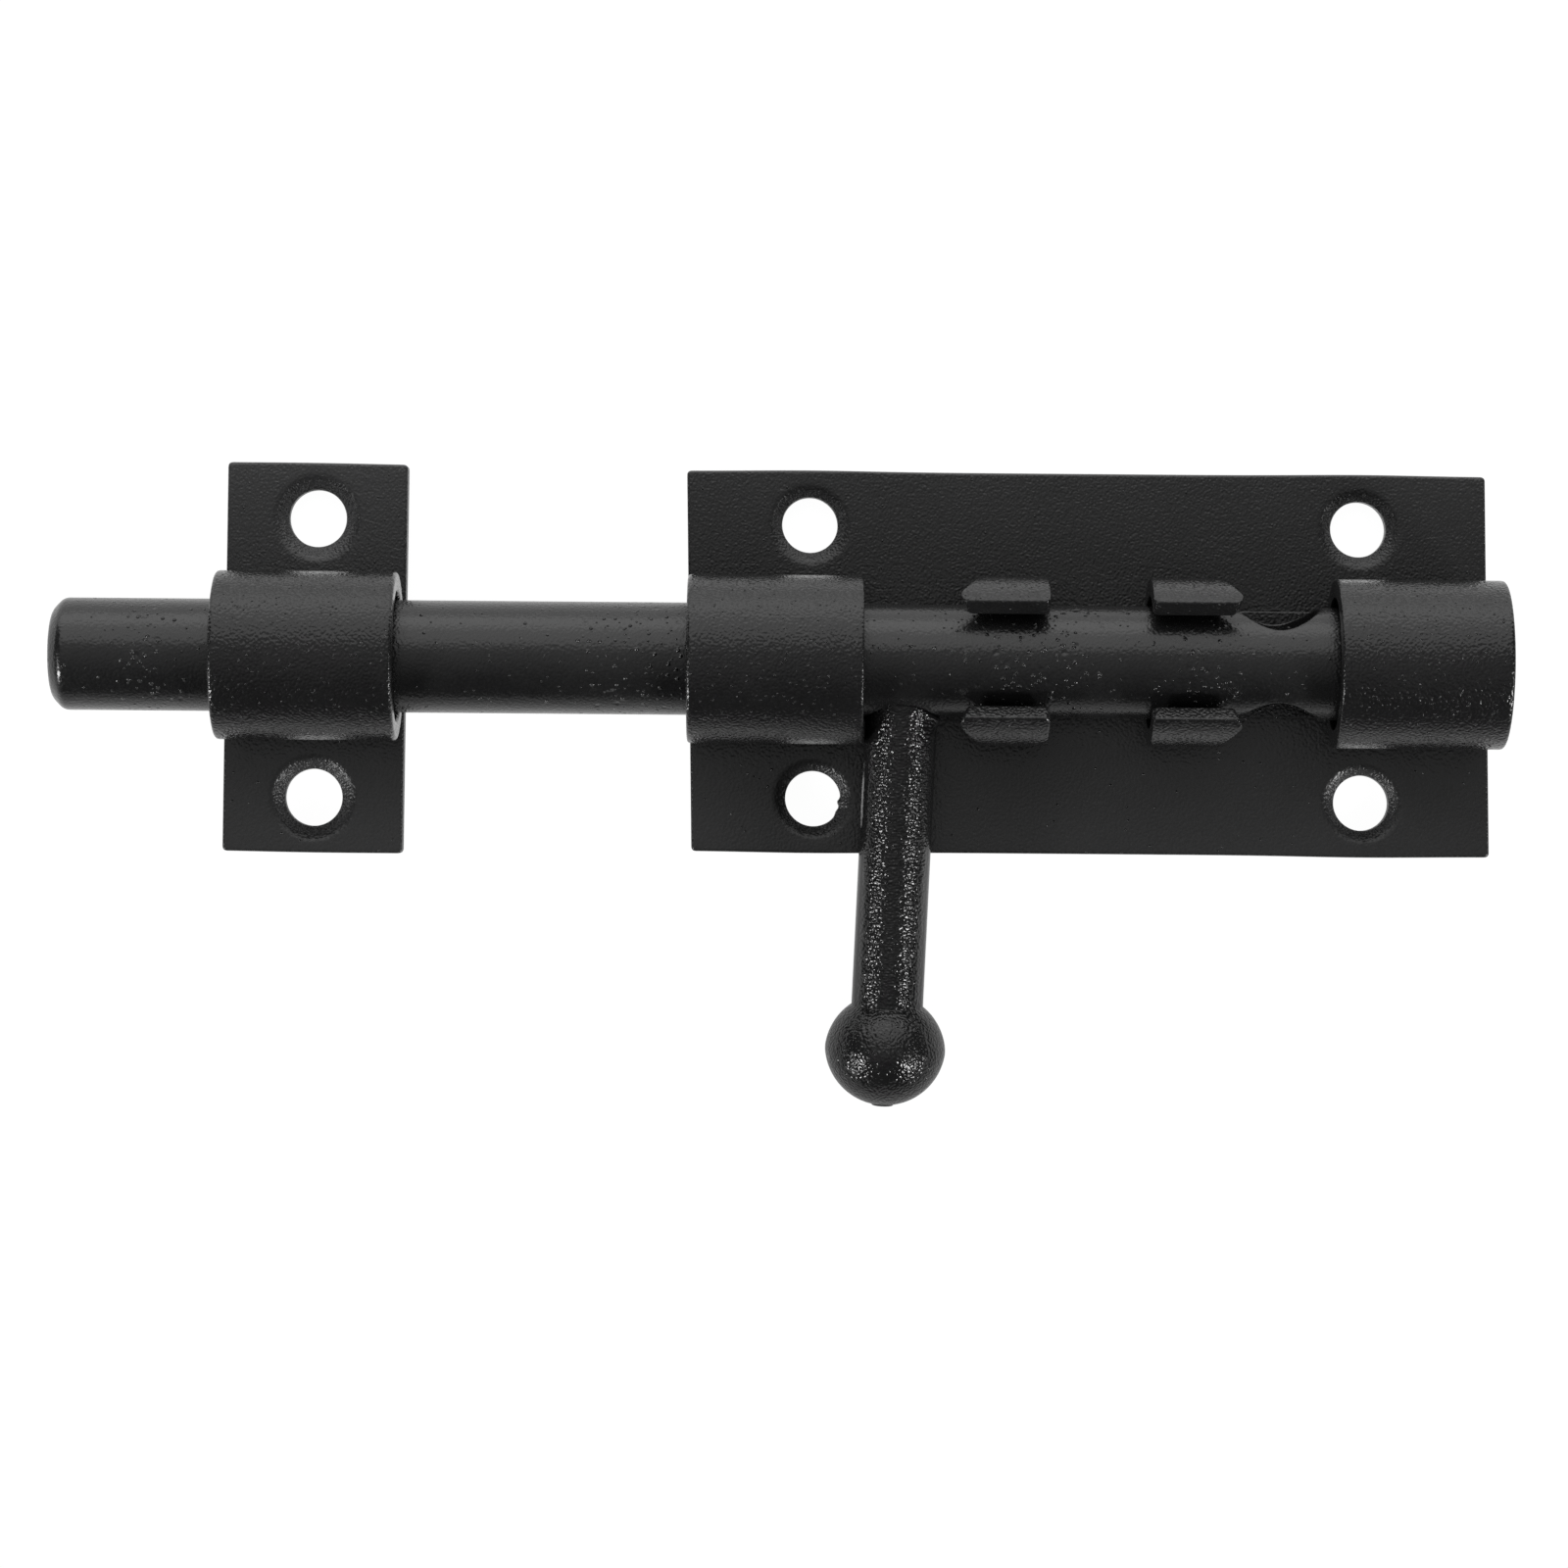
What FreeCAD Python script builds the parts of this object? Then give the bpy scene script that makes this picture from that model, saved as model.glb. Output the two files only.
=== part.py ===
import FreeCAD, Part
import math
import os

import Sketcher

# Padbolt: a round bolt with a ball-ended handle slides and turns in a tube on a base plate, and its
# nose shoots into a collar on a keep plate. Millimetres. X runs along the bolt with the nose towards
# -X, Z stands away from the door, and the handle hangs towards -Y. The origin is the middle of the
# four base screws, on the back face of the base plate.

# Driving dimensions: name, value, what it is.
SIZES = [
    ("plate_thickness", 2.5, "base plate and keep plate"),
    ("plate_corner", 0.4, "rounding of the plates' upright corners"),
    ("plate_edge", 0.25, "chamfer of the plates' front edges"),
    ("countersink_angle", 90, "degrees"),
    ("base_length", 86.5, "base plate along the bolt"),
    ("base_width", 41.5, "base plate across the bolt"),
    ("base_front_margin", 13.25, "base screws to the plate's end near the keep"),
    ("base_tail_margin", 13.75, "base screws to the plate's other end"),
    ("base_side_margin", 5.9, "base screws to the plate's long edges"),
    ("base_hole_radius", 3.0, "base screw holes"),
    ("base_sink_radius", 4.15, "mouth of the base countersinks"),
    ("keep_gap", 30.8, "base plate to keep plate"),
    ("keep_length", 19.5, "keep plate along the bolt"),
    ("keep_width", 42.3, "keep plate across the bolt"),
    ("keep_side_margin", 6.0, "keep screws to the plate's short edges"),
    ("keep_hole_radius", 3.1, "keep screw holes"),
    ("keep_sink_radius", 4.55, "mouth of the keep countersinks"),
    ("tube_radius", 9.0, "outside of the guide tube and keep collar"),
    ("bore_radius", 7.0, "inside of the guide tube and keep collar"),
    ("tube_overhang", 0.45, "guide tube past the tail end of the base plate"),
    ("tube_end_chamfer", 0.4, "chamfer of a tube's outer end edges"),
    ("weld_land", 0.12, "depth of the flat by which a tube is welded to its plate"),
    ("front_collar", 18.7, "length of tube left whole at the keep end"),
    ("end_notch", 12.0, "notches beside the collars, below the claw noses"),
    ("middle_notch", 10.75, "notch between the two pairs of claws"),
    ("claw_width", 7.7, "claws below their noses"),
    ("claw_nose", 1.95, "reach of a claw's nose over its notch"),
    ("nose_height", 5.6, "underside of the nose above the tube's axis"),
    ("undercut_height", 2.2, "start of the nose above the tube's axis"),
    ("claw_tip_angle", 47, "degrees from level to the claws' tips, round the tube"),
    ("claw_corner", 1.2, "corner taken off a claw's tip above its nose"),
    ("notch_floor", 6.8, "floor of the notches below the tube's axis"),
    ("notch_round", 0.8, "rounding of the notches' lower corners"),
    ("keep_collar_length", 19.3, "keep collar along the bolt"),
    ("rod_radius", 6.0, "bolt rod"),
    ("rod_length", 150.0, "bolt rod, end to end"),
    ("rod_float", 0.25, "gap under the rod, which lies low in its bores"),
    ("nose_reach", 90.9, "front end of the rod to the handle"),
    ("nose_chamfer", 1.4, "chamfer of the rod's front end"),
    ("nose_round", 0.7, "rounding of that chamfer's edges"),
    ("tail_chamfer", 0.8, "chamfer of the rod's tail end"),
    ("padlock_margin", 19.4, "padlock hole to the rod's tail end"),
    ("padlock_radius", 4.45, "padlock hole through the rod"),
    ("lever_radius", 3.85, "round bar of the handle"),
    ("lever_reach", 41.6, "bolt's axis to the middle of the ball"),
    ("lever_lean", 2.2, "degrees that the handle leans towards the keep"),
    ("lever_stop_gap", 0.2, "handle to the rim of the front collar"),
    ("weld_gap", 0.05, "coped end of the handle to the rod"),
    ("ball_radius", 6.5, "ball at the end of the handle"),
    ("ball_flat", 0.9, "radius of the turned flat on the ball's end"),
    ("ball_rest", 0.1, "gap between the ball and the door"),
]

# Lengths that only have to reach past the metal that they cut.
CUT_REACH = 40.0


class Measure:
    """A size kept both as a number and as the expression over the sheet's cells that gives it."""

    def __init__(self, value, text):
        self.value = value
        self.text = text

    def __add__(self, other):
        other = measure(other)
        return Measure(self.value + other.value, f"({self.text} + {other.text})")

    def __sub__(self, other):
        other = measure(other)
        return Measure(self.value - other.value, f"({self.text} - {other.text})")

    def __mul__(self, other):
        other = measure(other)
        return Measure(self.value * other.value, f"({self.text} * {other.text})")

    def __truediv__(self, other):
        other = measure(other)
        return Measure(self.value / other.value, f"({self.text} / {other.text})")

    def __neg__(self):
        return Measure(-self.value, f"(0 - {self.text})")

    def __radd__(self, other):
        return measure(other) + self

    def __rsub__(self, other):
        return measure(other) - self


def measure(size):
    """A plain number becomes a size of that value."""
    if isinstance(size, Measure):
        return size
    return Measure(float(size), repr(size))


def root_of(size):
    return Measure(math.sqrt(size.value), f"sqrt({size.text})")


def cosine(angle):
    return Measure(math.cos(math.radians(angle.value)), f"cos({angle.text})")


def tangent(angle):
    return Measure(math.tan(math.radians(angle.value)), f"tan({angle.text})")


def arc_sine(ratio):
    return Measure(math.degrees(math.asin(ratio.value)), f"(asin({ratio.text}) / 1 deg)")


def write_sheet(document):
    """Puts the driving dimensions in the sheet and returns them by name."""
    sheet = document.addObject("Spreadsheet::Sheet", "Sizes")
    cells = {}
    for row, (name, value, note) in enumerate(SIZES, start=1):
        sheet.set(f"A{row}", name)
        sheet.set(f"B{row}", str(value))
        sheet.set(f"C{row}", note)
        sheet.setAlias(f"B{row}", name)
        cells[name] = Measure(value, f"Sizes.{name}")
    document.recompute()
    return cells


def bind(thing, path, size):
    """Ties one property of an object to a size."""
    thing.setExpression(path, measure(size).text)


def new_sketch(body, name, plane_role, height=0):
    """A sketch on one of the body's own origin planes, raised along that plane's normal."""
    plane = next(f for f in body.Origin.OriginFeatures if f.Role == plane_role)
    sketch = body.newObject("Sketcher::SketchObject", name)
    sketch.AttachmentSupport = [(plane, "")]
    sketch.MapMode = "FlatFace"
    bind(sketch, "AttachmentOffset.Base.z", height)
    return sketch


def tie(sketch, kind, geometry, point, size):
    """Ties a point to the origin, or a radius where point is None."""
    size = measure(size)
    if point is None:
        constraint = Sketcher.Constraint(kind, geometry, size.value)
    else:
        constraint = Sketcher.Constraint(kind, -1, 1, geometry, point, size.value)
    index = sketch.addConstraint(constraint)
    sketch.setExpression(f"Constraints[{index}]", size.text)


def add_polygon(sketch, corners):
    """A closed polygon, each corner tied to the origin."""
    first = sketch.GeometryCount
    corners = [(measure(x), measure(y)) for x, y in corners]
    points = [FreeCAD.Vector(x.value, y.value, 0) for x, y in corners]
    for i, point in enumerate(points):
        sketch.addGeometry(Part.LineSegment(point, points[(i + 1) % len(points)]), False)
    for i, (x, y) in enumerate(corners):
        after = first + (i + 1) % len(points)
        sketch.addConstraint(Sketcher.Constraint("Coincident", first + i, 2, after, 1))
        tie(sketch, "DistanceX", first + i, 1, x)
        tie(sketch, "DistanceY", first + i, 1, y)


def add_box(sketch, left, low, right, high):
    add_polygon(sketch, [(left, low), (right, low), (right, high), (left, high)])


def add_circle(sketch, x, y, radius):
    x, y, radius = measure(x), measure(y), measure(radius)
    middle = FreeCAD.Vector(x.value, y.value, 0)
    circle = Part.Circle(middle, FreeCAD.Vector(0, 0, 1), radius.value)
    index = sketch.addGeometry(circle, False)
    tie(sketch, "Radius", index, None, radius)
    tie(sketch, "DistanceX", index, 3, x)
    tie(sketch, "DistanceY", index, 3, y)


def dress_edges(body, kind, size_name, name, size, chosen):
    """Dresses the edges of the body's last feature for which chosen(edge) is true."""
    body.Document.recompute()
    base = body.Tip
    picked = [f"Edge{i}" for i, e in enumerate(base.Shape.Edges, start=1) if chosen(e)]
    if not picked:
        raise RuntimeError(f"{body.Label}: no edge for {name}")
    dressing = body.newObject(kind, name)
    dressing.Base = (base, picked)
    bind(dressing, size_name, size)


def round_edges(body, name, radius, chosen):
    dress_edges(body, "PartDesign::Fillet", "Radius", name, radius, chosen)


def chamfer_edges(body, name, size, chosen):
    dress_edges(body, "PartDesign::Chamfer", "Size", name, size, chosen)


def near(one, other):
    return abs(one - other) < 1e-4


def is_upright(edge):
    box = edge.BoundBox
    return near(box.XLength, 0) and near(box.YLength, 0)


def runs_across(edge):
    box = edge.BoundBox
    return near(box.XLength, 0) and near(box.ZLength, 0) and box.YLength > 1e-3


def lies_at_height(edge, height):
    return near(edge.BoundBox.ZMin, height) and near(edge.BoundBox.ZMax, height)


def new_body(document, name):
    body = document.addObject("PartDesign::Body", name)
    body.Label = name
    return body


def build_plate(document, name, left, length, width, holes, hole_radius, sink_radius, s):
    """A flat plate lying on the door, with countersunk screw holes and broken edges."""
    body = new_body(document, name)
    outline = new_sketch(body, f"{name}_outline", "XY_Plane")
    add_box(outline, left, -width / 2, left + length, width / 2)
    slab = body.newObject("PartDesign::Pad", f"{name}_slab")
    slab.Profile = outline
    bind(slab, "Length", s["plate_thickness"])
    round_edges(body, f"{name}_corners", s["plate_corner"], is_upright)
    top = s["plate_thickness"].value
    chamfer_edges(body, f"{name}_rim", s["plate_edge"], lambda e: lies_at_height(e, top))

    document.recompute()
    marks = new_sketch(body, f"{name}_hole_marks", "XY_Plane", s["plate_thickness"])
    for x, y in holes:
        add_circle(marks, x, y, hole_radius)
    screws = body.newObject("PartDesign::Hole", f"{name}_screw_holes")
    screws.Profile = marks
    document.recompute()
    screws.ThreadType = "None"
    screws.DepthType = "ThroughAll"
    screws.HoleCutType = "Countersink"
    screws.HoleCutCustomValues = True
    bind(screws, "Diameter", hole_radius * 2)
    bind(screws, "HoleCutDiameter", sink_radius * 2)
    bind(screws, "HoleCutCountersinkAngle", s["countersink_angle"])
    return body


def build_tube(document, name, left, length, s):
    """A plain length of tube, flat underneath where it is welded to its plate.

    Its own origin is on the tube's axis, which stands on the plate.
    """
    body = new_body(document, name)
    ring = new_sketch(body, f"{name}_ring", "YZ_Plane", left)
    add_circle(ring, 0, 0, s["tube_radius"])
    add_circle(ring, 0, 0, s["bore_radius"])
    pipe = body.newObject("PartDesign::Pad", f"{name}_pipe")
    pipe.Profile = ring
    bind(pipe, "Length", length)
    outside = s["tube_radius"].value
    is_rim = lambda e: near(e.BoundBox.ZMax, outside) and near(e.BoundBox.XLength, 0)
    chamfer_edges(body, f"{name}_ends", s["tube_end_chamfer"], is_rim)

    below = new_sketch(body, f"{name}_land_outline", "YZ_Plane", left - CUT_REACH / 2)
    land = s["weld_land"] - s["tube_radius"]
    add_box(below, -s["tube_radius"], land - s["tube_radius"], s["tube_radius"], land)
    cut = body.newObject("PartDesign::Pocket", f"{name}_land")
    cut.Profile = below
    cut.Reversed = True
    bind(cut, "Length", length + CUT_REACH)
    bind(body, "Placement.Base.z", axis_height(s))
    return body


def axis_height(s):
    """The tubes' axis above the door."""
    return s["plate_thickness"] + s["tube_radius"] - s["weld_land"]


def rod_height(s):
    """The rod's axis above the door: it lies low in its bores."""
    return axis_height(s) - s["bore_radius"] + s["rod_radius"] + s["rod_float"]


def base_spacing(s):
    """Between the base screws, along the bolt."""
    return s["base_length"] - s["base_front_margin"] - s["base_tail_margin"]


def base_left(s):
    return -base_spacing(s) / 2 - s["base_front_margin"]


def keep_left(s):
    return base_left(s) - s["keep_gap"] - s["keep_length"]


def tube_length(s):
    return s["base_length"] + s["tube_overhang"]


def notch_edges(s):
    """Along the bolt: front collar, claw, claw, claw, claw and tail collar edges, in that order."""
    front = base_left(s) + s["front_collar"]
    claw_one = front + s["end_notch"]
    claw_one_end = claw_one + s["claw_width"]
    claw_two = claw_one_end + s["middle_notch"]
    claw_two_end = claw_two + s["claw_width"]
    return front, claw_one, claw_one_end, claw_two, claw_two_end, claw_two_end + s["end_notch"]


def lever_place(s):
    """Where the handle's line meets the bolt's axis, with the handle just clear of the collar."""
    front = notch_edges(s)[0]
    drift = s["tube_radius"] * tangent(s["lever_lean"])
    return front + drift + s["lever_radius"] / cosine(s["lever_lean"]) + s["lever_stop_gap"]


def lever_droop(s):
    """The angle below level at which the ball just clears the door."""
    drop = rod_height(s) - s["ball_radius"] - s["ball_rest"]
    return arc_sine(drop / (s["lever_reach"] * cosine(s["lever_lean"])))


def build_base_plate(document, s):
    x = base_spacing(s) / 2
    y = s["base_width"] / 2 - s["base_side_margin"]
    holes = [(-x, -y), (x, -y), (-x, y), (x, y)]
    return build_plate(
        document, "base_plate", base_left(s), s["base_length"], s["base_width"],
        holes, s["base_hole_radius"], s["base_sink_radius"], s,
    )


def build_keep_plate(document, s):
    x = keep_left(s) + s["keep_length"] / 2
    y = s["keep_width"] / 2 - s["keep_side_margin"]
    return build_plate(
        document, "keep_plate", keep_left(s), s["keep_length"], s["keep_width"],
        [(x, -y), (x, y)], s["keep_hole_radius"], s["keep_sink_radius"], s,
    )


def build_keep_collar(document, s):
    left = keep_left(s) + (s["keep_length"] - s["keep_collar_length"]) / 2
    return build_tube(document, "keep_collar", left, s["keep_collar_length"], s)


def build_guide_tube(document, s):
    """The tube whose middle is cut away to two pairs of hooked claws, between two whole collars."""
    body = build_tube(document, "guide_tube", base_left(s), tube_length(s), s)
    front, claw_one, claw_one_end, claw_two, claw_two_end, tail = notch_edges(s)
    floor = -s["notch_floor"]
    over = s["tube_radius"] + s["tube_radius"]
    nose_one = claw_one - s["claw_nose"]
    nose_two = claw_two_end + s["claw_nose"]

    sides = new_sketch(body, "notch_outlines", "XZ_Plane")
    add_polygon(sides, [
        (front, floor), (claw_one, floor), (claw_one, s["undercut_height"]),
        (nose_one, s["nose_height"]), (nose_one, over), (front, over),
    ])
    add_box(sides, claw_one_end, floor, claw_two, over)
    add_polygon(sides, [
        (claw_two_end, floor), (tail, floor), (tail, over),
        (nose_two, over), (nose_two, s["nose_height"]), (claw_two_end, s["undercut_height"]),
    ])
    notches = body.newObject("PartDesign::Pocket", "notches")
    notches.Profile = sides
    notches.SideType = "Symmetric"
    notches.Type = "Length"
    notches.Length = 2 * CUT_REACH

    # The slot along the top is cut towards the axis, so the claws' tips face it squarely.
    top = new_sketch(body, "top_slot_outline", "YZ_Plane", front)
    spread = over / tangent(s["claw_tip_angle"])
    add_polygon(top, [(0, 0), (spread, over), (-spread, over)])
    slot = body.newObject("PartDesign::Pocket", "top_slot")
    slot.Profile = top
    slot.Reversed = True
    bind(slot, "Length", tail - front)

    # Seen from above, a slanting cut takes the corner off each tip over its nose.
    plan = new_sketch(body, "tip_corner_outlines", "XY_Plane")
    inner = s["bore_radius"] * cosine(s["claw_tip_angle"]) * 0.9
    outer = root_of(s["tube_radius"] * s["tube_radius"] - s["nose_height"] * s["nose_height"])
    for nose, turn in ((nose_one, 1), (nose_two, -1)):
        for side in (1, -1):
            corner = nose + s["claw_corner"] * turn
            clear = nose - s["claw_nose"] * 0.5 * turn
            add_polygon(plan, [
                (corner, inner * side), (nose, outer * side), (clear, outer * side),
                (clear, inner * side),
            ])
    corners = body.newObject("PartDesign::Pocket", "tip_corners")
    corners.Profile = plan
    corners.Reversed = True
    corners.Type = "ThroughAll"

    base = floor.value
    ends = [e.value for e in (front, claw_one, claw_one_end, claw_two, claw_two_end, tail)]
    is_corner = lambda e: runs_across(e) and near(e.BoundBox.ZMin, base) and any(
        near(e.BoundBox.XMin, x) for x in ends
    )
    round_edges(body, "notch_corners", s["notch_round"], is_corner)
    return body


def build_bolt_rod(document, s):
    """A round bar with a chamfered front end and a cross hole for a padlock."""
    body = new_body(document, "bolt_rod")
    tip = -s["nose_reach"]
    tail = tip + s["rod_length"]
    profile = new_sketch(body, "rod_profile", "XZ_Plane")
    add_polygon(profile, [
        (tip, 0), (tail, 0), (tail, s["rod_radius"] - s["tail_chamfer"]),
        (tail - s["tail_chamfer"], s["rod_radius"]), (tip + s["nose_chamfer"], s["rod_radius"]),
        (tip, s["rod_radius"] - s["nose_chamfer"]),
    ])
    bar = body.newObject("PartDesign::Revolution", "bar")
    bar.Profile = profile
    bar.ReferenceAxis = (profile, ["H_Axis"])
    start = tip.value
    end = (tip + s["nose_chamfer"]).value
    is_nose = lambda e: near(e.BoundBox.XLength, 0) and (
        near(e.BoundBox.XMin, start) or near(e.BoundBox.XMin, end)
    )
    round_edges(body, "nose_edges", s["nose_round"], is_nose)

    # The padlock hole lies along the handle.
    cross = new_sketch(body, "padlock_outline", "XZ_Plane")
    cross.AttachmentOffset = FreeCAD.Placement(
        FreeCAD.Vector(0, 0, 0), FreeCAD.Rotation(FreeCAD.Vector(1, 0, 0), lever_droop(s).value)
    )
    bind(cross, "AttachmentOffset.Rotation.Angle", lever_droop(s))
    add_circle(cross, tail - s["padlock_margin"], 0, s["padlock_radius"])
    hole = body.newObject("PartDesign::Pocket", "padlock_hole")
    hole.Profile = cross
    hole.SideType = "Symmetric"
    hole.Type = "Length"
    bind(hole, "Length", s["rod_radius"] * 4)
    bind(body, "Placement.Base.x", lever_place(s))
    bind(body, "Placement.Base.z", rod_height(s))
    return body


def build_handle(document, s):
    """A turned bar with a ball end, coped at its root to sit round the rod."""
    body = new_body(document, "handle")
    bar, ball = s["lever_radius"], s["ball_radius"]
    root = -root_of(s["rod_radius"] * s["rod_radius"] - bar * bar) * 0.75
    neck = -s["lever_reach"] + root_of(ball * ball - bar * bar)
    end = -s["lever_reach"] - root_of(ball * ball - s["ball_flat"] * s["ball_flat"])

    profile = new_sketch(body, "handle_profile", "XY_Plane")
    add_handle_profile(profile, root, neck, end, s)
    turned = body.newObject("PartDesign::Revolution", "turned_bar")
    turned.Profile = profile
    turned.ReferenceAxis = (profile, ["V_Axis"])

    cope = new_sketch(body, "cope_outline", "YZ_Plane")
    cope.AttachmentOffset = FreeCAD.Placement(
        FreeCAD.Vector(0, 0, 0), FreeCAD.Rotation(FreeCAD.Vector(0, 1, 0), s["lever_lean"].value)
    )
    bind(cope, "AttachmentOffset.Rotation.Angle", s["lever_lean"])
    add_circle(cope, 0, 0, s["rod_radius"] + s["weld_gap"])
    saddle = body.newObject("PartDesign::Pocket", "saddle")
    saddle.Profile = cope
    saddle.SideType = "Symmetric"
    saddle.Type = "Length"
    bind(saddle, "Length", bar * 4)

    lean = FreeCAD.Rotation(FreeCAD.Vector(0, 0, 1), -s["lever_lean"].value)
    droop = FreeCAD.Rotation(FreeCAD.Vector(1, 0, 0), lever_droop(s).value)
    body.Placement.Rotation = droop.multiply(lean)
    bind(body, "Placement.Base.x", lever_place(s))
    bind(body, "Placement.Base.z", rod_height(s))
    return body


def add_handle_profile(sketch, root, neck, end, s):
    """Half the handle's section: bar, ball and the small flat on the ball's end."""
    bar = s["lever_radius"]
    corners = [
        (measure(0), root), (bar, root), (bar, neck), (s["ball_flat"], end), (measure(0), end),
    ]
    points = [FreeCAD.Vector(x.value, y.value, 0) for x, y in corners]
    side = -s["lever_reach"].value
    bulge = FreeCAD.Vector(s["ball_radius"].value, side, 0)
    sketch.addGeometry([
        Part.LineSegment(points[0], points[1]),
        Part.LineSegment(points[1], points[2]),
        Part.Arc(points[2], bulge, points[3]),
        Part.LineSegment(points[3], points[4]),
        Part.LineSegment(points[4], points[0]),
    ], False)
    bar_end, ball_arc, flat, axis = 1, 2, 3, 4
    # The arc runs from the flat to the neck, the sense in which an arc's ends are counted.
    sketch.addConstraint([
        Sketcher.Constraint("Coincident", 0, 2, bar_end, 1),
        Sketcher.Constraint("Coincident", bar_end, 2, ball_arc, 2),
        Sketcher.Constraint("Coincident", ball_arc, 1, flat, 1),
        Sketcher.Constraint("Coincident", flat, 2, axis, 1),
        Sketcher.Constraint("Coincident", axis, 2, 0, 1),
        Sketcher.Constraint("Vertical", bar_end),
        Sketcher.Constraint("Horizontal", flat),
        Sketcher.Constraint("PointOnObject", axis, 1, -2),
    ])
    tie(sketch, "DistanceX", 0, 1, 0)
    tie(sketch, "DistanceY", 0, 1, root)
    tie(sketch, "DistanceX", bar_end, 1, bar)
    tie(sketch, "DistanceY", bar_end, 1, root)
    tie(sketch, "Radius", ball_arc, None, s["ball_radius"])
    tie(sketch, "DistanceX", ball_arc, 3, 0)
    tie(sketch, "DistanceY", ball_arc, 3, -s["lever_reach"])
    tie(sketch, "DistanceX", flat, 1, s["ball_flat"])


def check(document, bodies):
    """Stops on any object that failed or any sub-part without one sound solid."""
    for thing in document.Objects:
        if "Invalid" in thing.State or "Error" in thing.State:
            raise RuntimeError(f"{thing.Label} failed: {thing.State}")
    for body in bodies:
        shape = body.Shape
        if shape.isNull() or not shape.isValid() or len(shape.Solids) != 1:
            raise RuntimeError(f"{body.Label} isn't one sound solid")


def main():
    document = FreeCAD.newDocument("padbolt")
    s = write_sheet(document)
    bodies = [
        build_base_plate(document, s),
        build_guide_tube(document, s),
        build_bolt_rod(document, s),
        build_handle(document, s),
        build_keep_plate(document, s),
        build_keep_collar(document, s),
    ]
    document.recompute()
    check(document, bodies)
    os.makedirs("parts", exist_ok=True)
    for body in bodies:
        body.Shape.exportStep(f"parts/{body.Label}.step")
        print(body.Label, round(body.Shape.Volume, 2), body.Shape.BoundBox)


main()
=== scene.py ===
import logging
import math
from abc import ABC, abstractmethod
from dataclasses import dataclass, field
from enum import Enum
from typing import Any, ClassVar

import bmesh
import bpy
import numpy as np
from mathutils import Matrix, Vector
from mathutils.geometry import delaunay_2d_cdt


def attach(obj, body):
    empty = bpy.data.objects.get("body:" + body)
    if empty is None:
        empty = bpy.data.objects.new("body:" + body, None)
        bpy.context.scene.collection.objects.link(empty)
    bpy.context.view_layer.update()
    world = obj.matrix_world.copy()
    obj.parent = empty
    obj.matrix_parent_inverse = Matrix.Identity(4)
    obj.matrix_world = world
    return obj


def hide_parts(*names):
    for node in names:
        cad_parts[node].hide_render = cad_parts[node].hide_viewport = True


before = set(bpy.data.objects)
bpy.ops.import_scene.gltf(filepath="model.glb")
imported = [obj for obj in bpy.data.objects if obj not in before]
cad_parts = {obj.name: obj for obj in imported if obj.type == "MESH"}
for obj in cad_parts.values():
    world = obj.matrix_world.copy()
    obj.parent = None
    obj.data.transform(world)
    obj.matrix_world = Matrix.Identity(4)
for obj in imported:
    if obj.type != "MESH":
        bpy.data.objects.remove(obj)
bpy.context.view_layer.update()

MM = 0.001
log = logging.getLogger("padbolt")

Point = tuple[float, float]
Colour = tuple[float, float, float]

BLACK: Colour = (0.0, 0.0, 0.0)
PLATE_FACE = 2.5  # height of the plates' front
BORE_AXIS = 11.38  # height of the tubes' axis
ROD_AXIS = 10.63  # height of the rod's axis: it lies low in its bores
DROOP = 5.5634  # degrees by which the handle hangs below the rod, until its ball meets the door
BAR_SIDES = 96  # faces round a bar or tube
HOLE_SIDES = 72  # faces round a hole


class Slot(Enum):
    """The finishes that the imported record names."""

    PLATE = "plate_coat"
    TUBE = "tube_coat"
    BOLT = "bolt_coat"


class Carrier(Enum):
    """What a piece moves with."""

    PLATES = "plates"
    BOLT = "bolt"
    HANDLE = "handle"


# Shaders


class Signal:
    """An output socket that takes part in Python arithmetic."""

    def __init__(self, shader: "Shader", socket: bpy.types.NodeSocket) -> None:
        """Keeps the socket and the shader that it is in."""
        self.shader = shader
        self.socket = socket

    def __add__(self, other: "Value") -> "Signal":
        """This value plus another."""
        return self.shader.maths("ADD", self, other)

    __radd__ = __add__

    def __sub__(self, other: "Value") -> "Signal":
        """This value less another."""
        return self.shader.maths("SUBTRACT", self, other)

    def __rsub__(self, other: "Value") -> "Signal":
        """Another value less this one."""
        return self.shader.maths("SUBTRACT", other, self)

    def __mul__(self, other: "Value") -> "Signal":
        """This value times another."""
        return self.shader.maths("MULTIPLY", self, other)

    __rmul__ = __mul__

    def between(self, low: float, high: float) -> "Signal":
        """A smooth step.

        Args:
            low: up to this value it is 0.
            high: from this value on it is 1.

        Returns:
            The step.
        """
        return self.shader.node(
            "ShaderNodeMapRange", {"interpolation_type": "SMOOTHSTEP"},
            {"Value": self, "From Min": low, "From Max": high},
        )["Result"]


Value = Signal | float


class Outputs:
    """A node's outputs by name, as signals."""

    def __init__(self, shader: "Shader", node: bpy.types.Node) -> None:
        """Keeps the node and its shader."""
        self.shader = shader
        self.node = node

    def __getitem__(self, name: str | int) -> Signal:
        """The output of that name."""
        return Signal(self.shader, self.node.outputs[name])


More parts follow.
